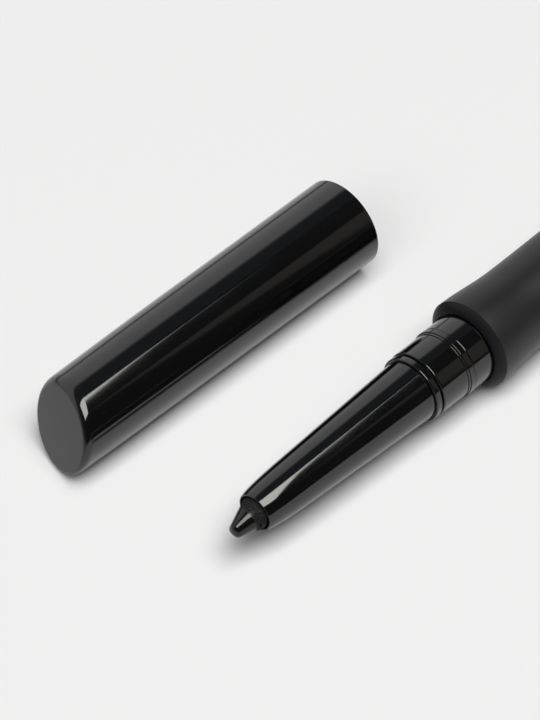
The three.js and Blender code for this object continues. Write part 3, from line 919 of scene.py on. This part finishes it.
@dataclass
class Cap:
    """The loose gloss cap with a slanted end, its inner sleeve and its seal."""

    seat: Seat
    length: float = 42.4           # open rim to the middle of the slanted end
    depth: float = 37.0            # open rim to the inner floor
    rim_radius: float = 5.235
    closed_radius: float = 4.97
    bore: float = 4.55
    slant: float = math.radians(20.0)
    roll: float = math.radians(40.0)
    fall: float = 0.105            # the wall falls away this much more at the closed end
    fall_reach: float = 18.0
    end_reach: float = 1.1         # rounding of the closed end, along the wall
    end_depth: float = 0.7         # and across the end face
    end_power: float = 2.15        # above 2 the rounding blends into the wall without a line
    end_crown: float = 0.06
    end_steps: int = 24
    wall_rings: tuple[float, ...] = (18.0, 16.0, 14.0, 12.0, 10.0, 8.0, 6.0, 4.0, 3.0, 2.2)
    face_rings: tuple[float, ...] = (0.97, 0.9, 0.75, 0.5, 0.25)
    lean_start: float = 14.0       # the slant fades out over the wall between these places
    lean_full: float = 4.0
    rim_round: float = 0.2
    sleeve_sink: float = 0.5
    sleeve_bore: float = 4.11
    sleeve_outer: float = 4.51
    snap_place: float = 3.57
    snap_rise: float = 0.06
    snap_length: float = 0.6
    wide_length: float = 8.95
    neck: float = 0.6
    tube_bore: float = 3.66
    tube_outer: float = 4.06
    seal_place: float = 20.28
    seal_width: float = 1.6
    seal_bore: float = 3.0
    seal_outer: float = 3.62
    lip_bore: float = 3.31
    lip_length: float = 0.6
    lip_gap: float = 0.05
    edge: float = 0.08
    lathe: Lathe = field(default_factory=lambda: Lathe(sides=192))

    def build(self, palette: Palette) -> None:
        """Turns, cuts and dresses the shell, the sleeve and the seal."""
        for name, node, slot, shape in (
            ("cap_gloss_shell", "cap_shell", Slot.GLOSS_BLACK, self._shell()),
            ("cap_liner", "cap_inner_sleeve", Slot.INNER_BLACK, self.lathe.turn(self._sleeve())),
            ("cap_seal", "cap_seal_ring", Slot.SEAL_RUBBER, self.lathe.turn(self._seal())),
        ):
            set_down(shape, name, self.seat, Body.CAP, slot, node, palette)

    def _wall(self, from_end: float) -> float:
        """The outer radius at a distance from the closed end."""
        near = max(0.0, 1.0 - from_end / self.fall_reach)
        return self.closed_radius + self._draft() * from_end - self.fall * near ** 2

    def _draft(self) -> float:
        """How much the outer radius grows for a length along the axis."""
        return (self.rim_radius - self.closed_radius) / self.length

    def _shell(self) -> BMesh:
        """Turns the shell square, then slides its closed end along the axis to a slant."""
        draft = self._draft()
        shape = self.lathe.turn([
            Corner(-self.depth, 0.0),
            Corner(-self.depth, self.bore - draft * self.depth),
            Corner(0.0, self.bore, self.edge),
            Corner(0.0, self.rim_radius, self.rim_round),
            *self._end(),
            Corner(-self.length - self.end_crown, 0.0),
        ])
        lean = math.tan(self.slant)
        for vert in shape.verts:
            on_wall = math.hypot(vert.co.y, vert.co.z) > self.bore
            outside = on_wall or vert.co.x < -self.depth - self.edge
            from_end = vert.co.x + self.length
            if outside and from_end < self.lean_start:
                height = vert.co.y * math.sin(self.roll) + vert.co.z * math.cos(self.roll)
                share = min(1.0, (self.lean_start - from_end) / (self.lean_start - self.lean_full))
                vert.co.x += lean * height * share
        self.lathe.settle(shape)
        return shape

    def _end(self) -> list[Corner]:
        """Rings of the wall near the closed end, its rounding and its slightly crowned face."""
        corners = []
        for place in self.wall_rings:
            corners.append(Corner(place - self.length, self._wall(place)))
        wall = self._wall(self.end_reach)
        for step in range(self.end_steps + 1):
            turn = math.pi / 2 * step / self.end_steps
            along = self.end_reach * math.sin(turn) ** (2 / self.end_power)
            inward = self.end_depth * (1 - math.cos(turn) ** (2 / self.end_power))
            corners.append(Corner(self.end_reach - along - self.length, wall - inward))
        flat = wall - self.end_depth
        for share in self.face_rings:
            corners.append(Corner(-self.length - self.end_crown * (1 - share * share), flat * share))
        return corners

    def _sleeve(self) -> list[Corner]:
        """A wide mouth with a snap rib, a neck and a tube with a lip behind the seal."""
        half_snap = self.snap_length / 2
        neck_end = self.wide_length + self.neck
        lip = self.seal_place + self.seal_width / 2 + self.lip_gap
        end = lip + self.lip_length
        return [
            Corner(-self.sleeve_sink, self.sleeve_bore, self.edge),
            Corner(-(self.snap_place - half_snap), self.sleeve_bore),
            Corner(-self.snap_place, self.sleeve_bore - self.snap_rise),
            Corner(-(self.snap_place + half_snap), self.sleeve_bore),
            Corner(-self.wide_length, self.sleeve_bore),
            Corner(-neck_end, self.tube_bore),
            Corner(-lip, self.tube_bore),
            Corner(-lip, self.lip_bore),
            Corner(-end, self.lip_bore),
            Corner(-end, self.tube_outer),
            Corner(-neck_end, self.tube_outer),
            Corner(-self.wide_length, self.sleeve_outer - (self.rim_radius - self.closed_radius)),
            Corner(-self.sleeve_sink, self.sleeve_outer, self.edge),
        ]

    def _seal(self) -> list[Corner]:
        """A ring with a rounded inner crest."""
        half = self.seal_width / 2
        return [
            Corner(-(self.seal_place - half), self.seal_bore + self.edge, self.edge),
            Corner(-(self.seal_place - half), self.seal_outer, self.edge),
            Corner(-(self.seal_place + half), self.seal_outer, self.edge),
            Corner(-(self.seal_place + half), self.seal_bore + self.edge, self.edge),
            Corner(-self.seal_place, self.seal_bore),
        ]


@dataclass
class Works:
    """The inner pieces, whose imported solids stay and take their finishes."""

    slots: dict[str, Slot] = field(default_factory=lambda: {
        "lead_holder": Slot.WHITE_ACETAL,
        "guide_sleeve": Slot.WHITE_ACETAL,
        "helix_sleeve": Slot.WHITE_ACETAL,
        "guide_end_stop": Slot.INNER_BLACK,
        "mouth_bush": Slot.INNER_BLACK,
        "barrel_liner": Slot.INNER_BLACK,
        "friction_ring": Slot.SEAL_RUBBER,
    })

    def dress(self, palette: Palette) -> None:
        """Gives each inner piece its finish."""
        for node, slot in self.slots.items():
            mesh = frame["nodes"][node].data
            mesh.materials.clear()
            mesh.materials.append(palette.of(slot))
            log.info("%s: %s", node, slot.value)


# Stage


class Use(Enum):
    """What a light is for."""

    REFLECTED = "shows in the gloss only"
    EVEN = "gives the even level and doesn't show in the gloss"


@dataclass(frozen=True)
class Panel:
    """A soft light, placed in metres, that faces along a direction."""

    name: str
    use: Use
    place: tuple[float, float, float]
    towards: tuple[float, float, float]
    size: tuple[float, float]
    radiance: float
    turn: float = 0.0
    colour: tuple[float, float, float] = (1.0, 1.0, 1.0)

    def build(self) -> None:
        """Hangs the light."""
        data = bpy.data.lights.new(self.name, "AREA")
        data.shape = "RECTANGLE"
        data.size, data.size_y = self.size
        data.energy = self.radiance * math.pi * self.size[0] * self.size[1]
        data.color = self.colour
        light = bpy.data.objects.new(self.name, data)
        facing = Vector(self.towards).to_track_quat("-Z", "Y").to_matrix().to_4x4()
        turned = facing @ Matrix.Rotation(self.turn, 4, "Z")
        light.matrix_world = Matrix.Translation(self.place) @ turned
        light.visible_camera = False
        light.visible_diffuse = self.use is not Use.REFLECTED
        light.visible_glossy = self.use is not Use.EVEN
        bpy.context.scene.collection.objects.link(light)


@dataclass
class Studio:
    """A pale floor, soft lights and the camera."""

    elevation: float = math.radians(46.2)
    heading: float = math.radians(46.3)
    distance: float = 0.3731
    looks_at: tuple[float, float, float] = (-0.036759, 0.00586, 0.000057)
    lens: float = 175.0
    sensor: float = 36.0
    near_clip: float = 0.01
    floor_size: float = 1.2
    floor_drop: float = 0.00002
    floor_roughness: float = 0.9
    floor_colour: tuple[float, float, float] = (0.862, 0.860, 0.857)
    world_light: float = 0.04
    world_tint: tuple[float, float, float] = (0.97, 1.0, 1.03)
    panels: tuple[Panel, ...] = (
        Panel("key", Use.EVEN, (-0.45, -1.45, 4.50), DOWN, (3.9, 3.25), 5.92, SOFTBOX_TURN),
        Panel("front_key", Use.EVEN, (-3.0, -0.75, 2.60), (3.0, 0.75, -2.60), (2.2, 2.2), 2.4),
        Panel("softbox", Use.REFLECTED, (-0.057, -0.385, 0.90), DOWN, (0.78, 0.65), 7.4, SOFTBOX_TURN,
              colour=(1.0, 1.01, 0.93)),
        Panel("softbox_lip", Use.REFLECTED, (0.3872, -0.1344, 0.90), DOWN, (0.03, 0.03), 4.0,
              SOFTBOX_TURN),
        Panel("softbox_rail", Use.REFLECTED, (0.4252, -0.1337, 0.90), DOWN, (0.045, 0.018), 1.4,
              SOFTBOX_TURN),
        Panel("ceiling", Use.REFLECTED, (-0.10, 0.205, 1.00), DOWN, (2.4, 0.49), 0.075,
              colour=(0.85, 1.0, 1.25)),
        Panel("front_wall", Use.REFLECTED, (1.45, -1.20, 0.75), TO_BACK, (1.45, 1.2), 0.22,
              colour=(1.08, 1.0, 0.92)),
        Panel("back_wall_low", Use.REFLECTED, (-0.30, 0.60, 0.515), TO_FRONT, (2.6, 0.97), 0.38),
        Panel("back_wall_mid", Use.REFLECTED, (-0.30, 0.61, 0.615), TO_FRONT, (2.6, 1.09), 0.30),
        Panel("back_wall_high", Use.REFLECTED, (-0.30, 0.62, 0.735), TO_FRONT, (2.6, 1.25), 0.19),
    )

    def build(self) -> None:
        """Makes the floor, the lights, the world and the camera."""
        self._floor()
        self._world()
        for panel in self.panels:
            panel.build()
        self._camera()

    def _floor(self) -> None:
        """A plain pale sheet just under the object."""
        shape = bmesh.new()
        bmesh.ops.create_grid(shape, x_segments=1, y_segments=1, size=self.floor_size / 2)
        mesh = bpy.data.meshes.new("floor")
        bmesh.ops.translate(shape, verts=shape.verts[:], vec=(0.0, 0.0, -self.floor_drop))
        shape.to_mesh(mesh)
        shape.free()
        material = bpy.data.materials.new("pale_floor")
        material.use_nodes = True
        shader = material.node_tree.nodes["Principled BSDF"]
        shader.inputs["Base Color"].default_value = (*self.floor_colour, 1.0)
        shader.inputs["Roughness"].default_value = self.floor_roughness
        shader.inputs["Specular IOR Level"].default_value = 0.0
        mesh.materials.append(material)
        floor = bpy.data.objects.new("floor", mesh)
        bpy.context.scene.collection.objects.link(floor)

    def _world(self) -> None:
        """A dim even surround."""
        world = bpy.data.worlds.new("surround")
        world.use_nodes = True
        shade = world.node_tree.nodes["Background"]
        shade.inputs["Color"].default_value = (*self.world_tint, 1.0)
        shade.inputs["Strength"].default_value = self.world_light
        bpy.context.scene.world = world

    def _camera(self) -> None:
        """Sets the camera at the photograph's viewing angle."""
        forward = Vector((
            math.cos(self.elevation) * math.sin(self.heading),
            math.cos(self.elevation) * math.cos(self.heading),
            -math.sin(self.elevation),
        ))
        data = bpy.data.cameras.new("camera")
        data.lens = self.lens
        data.sensor_fit = "AUTO"
        data.sensor_width = self.sensor
        data.clip_start = self.near_clip
        camera = bpy.data.objects.new("camera", data)
        camera.location = Vector(self.looks_at) - forward * self.distance
        camera.rotation_euler = forward.to_track_quat("-Z", "Y").to_euler()
        bpy.context.scene.collection.objects.link(camera)
        bpy.context.scene.camera = camera


# Assembly


def pencil_seat(face_rise: float) -> Seat:
    """The pencil's axis, with its zero at the edge of the barrel's rim.

    Args:
        face_rise: how far the barrel's front face stands in front of its rim.

    Returns:
        the axis, level above the floor.
    """
    shell_low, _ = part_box("barrel_shell")
    plug_low, plug_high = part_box("tail_plug")
    middle = (plug_low + plug_high) / 2
    return Seat(Vector((shell_low.x + face_rise * MM, middle.y, middle.z)))


def cap_seat(length: float) -> Seat:
    """The cap's axis, with its zero at the open rim.

    Args:
        length: open rim to the middle of the slanted end.

    Returns:
        the axis, tipped by the cap's draft and turned as the cap lies.
    """
    record = frame["record"]
    mount = next(m for m in record["mounts"] if m["name"] == "cap_end_face")
    pull = next(j for j in record["behaviour"]["joints"] if j["name"] == "cap_pull")
    end = Vector(mount["pos_m"])
    low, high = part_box("cap_shell")
    tip = math.asin(((high.z - low.z) / 2 - end.z) / (length * MM))
    turn = math.atan2(-pull["axis"][1], -pull["axis"][0])
    along = Seat(end, tip, turn).axes() @ Vector((length * MM, 0.0, 0.0))
    return Seat(end + along, tip, turn)


def main() -> None:
    """Builds the studio and the object in order."""
    logging.basicConfig(level=logging.INFO, format="%(name)s %(message)s")
    bpy.context.scene.view_settings.view_transform = "Standard"
    Studio().build()
    palette = Palette()
    seat = pencil_seat(face_rise=Barrel.face_rise)
    Lead(seat).build(palette)
    Nose(seat).build(palette)
    Barrel(seat).build(palette)
    Cap(cap_seat(Cap.length)).build(palette)
    Works().dress(palette)


if __name__ == "__main__":
    main()
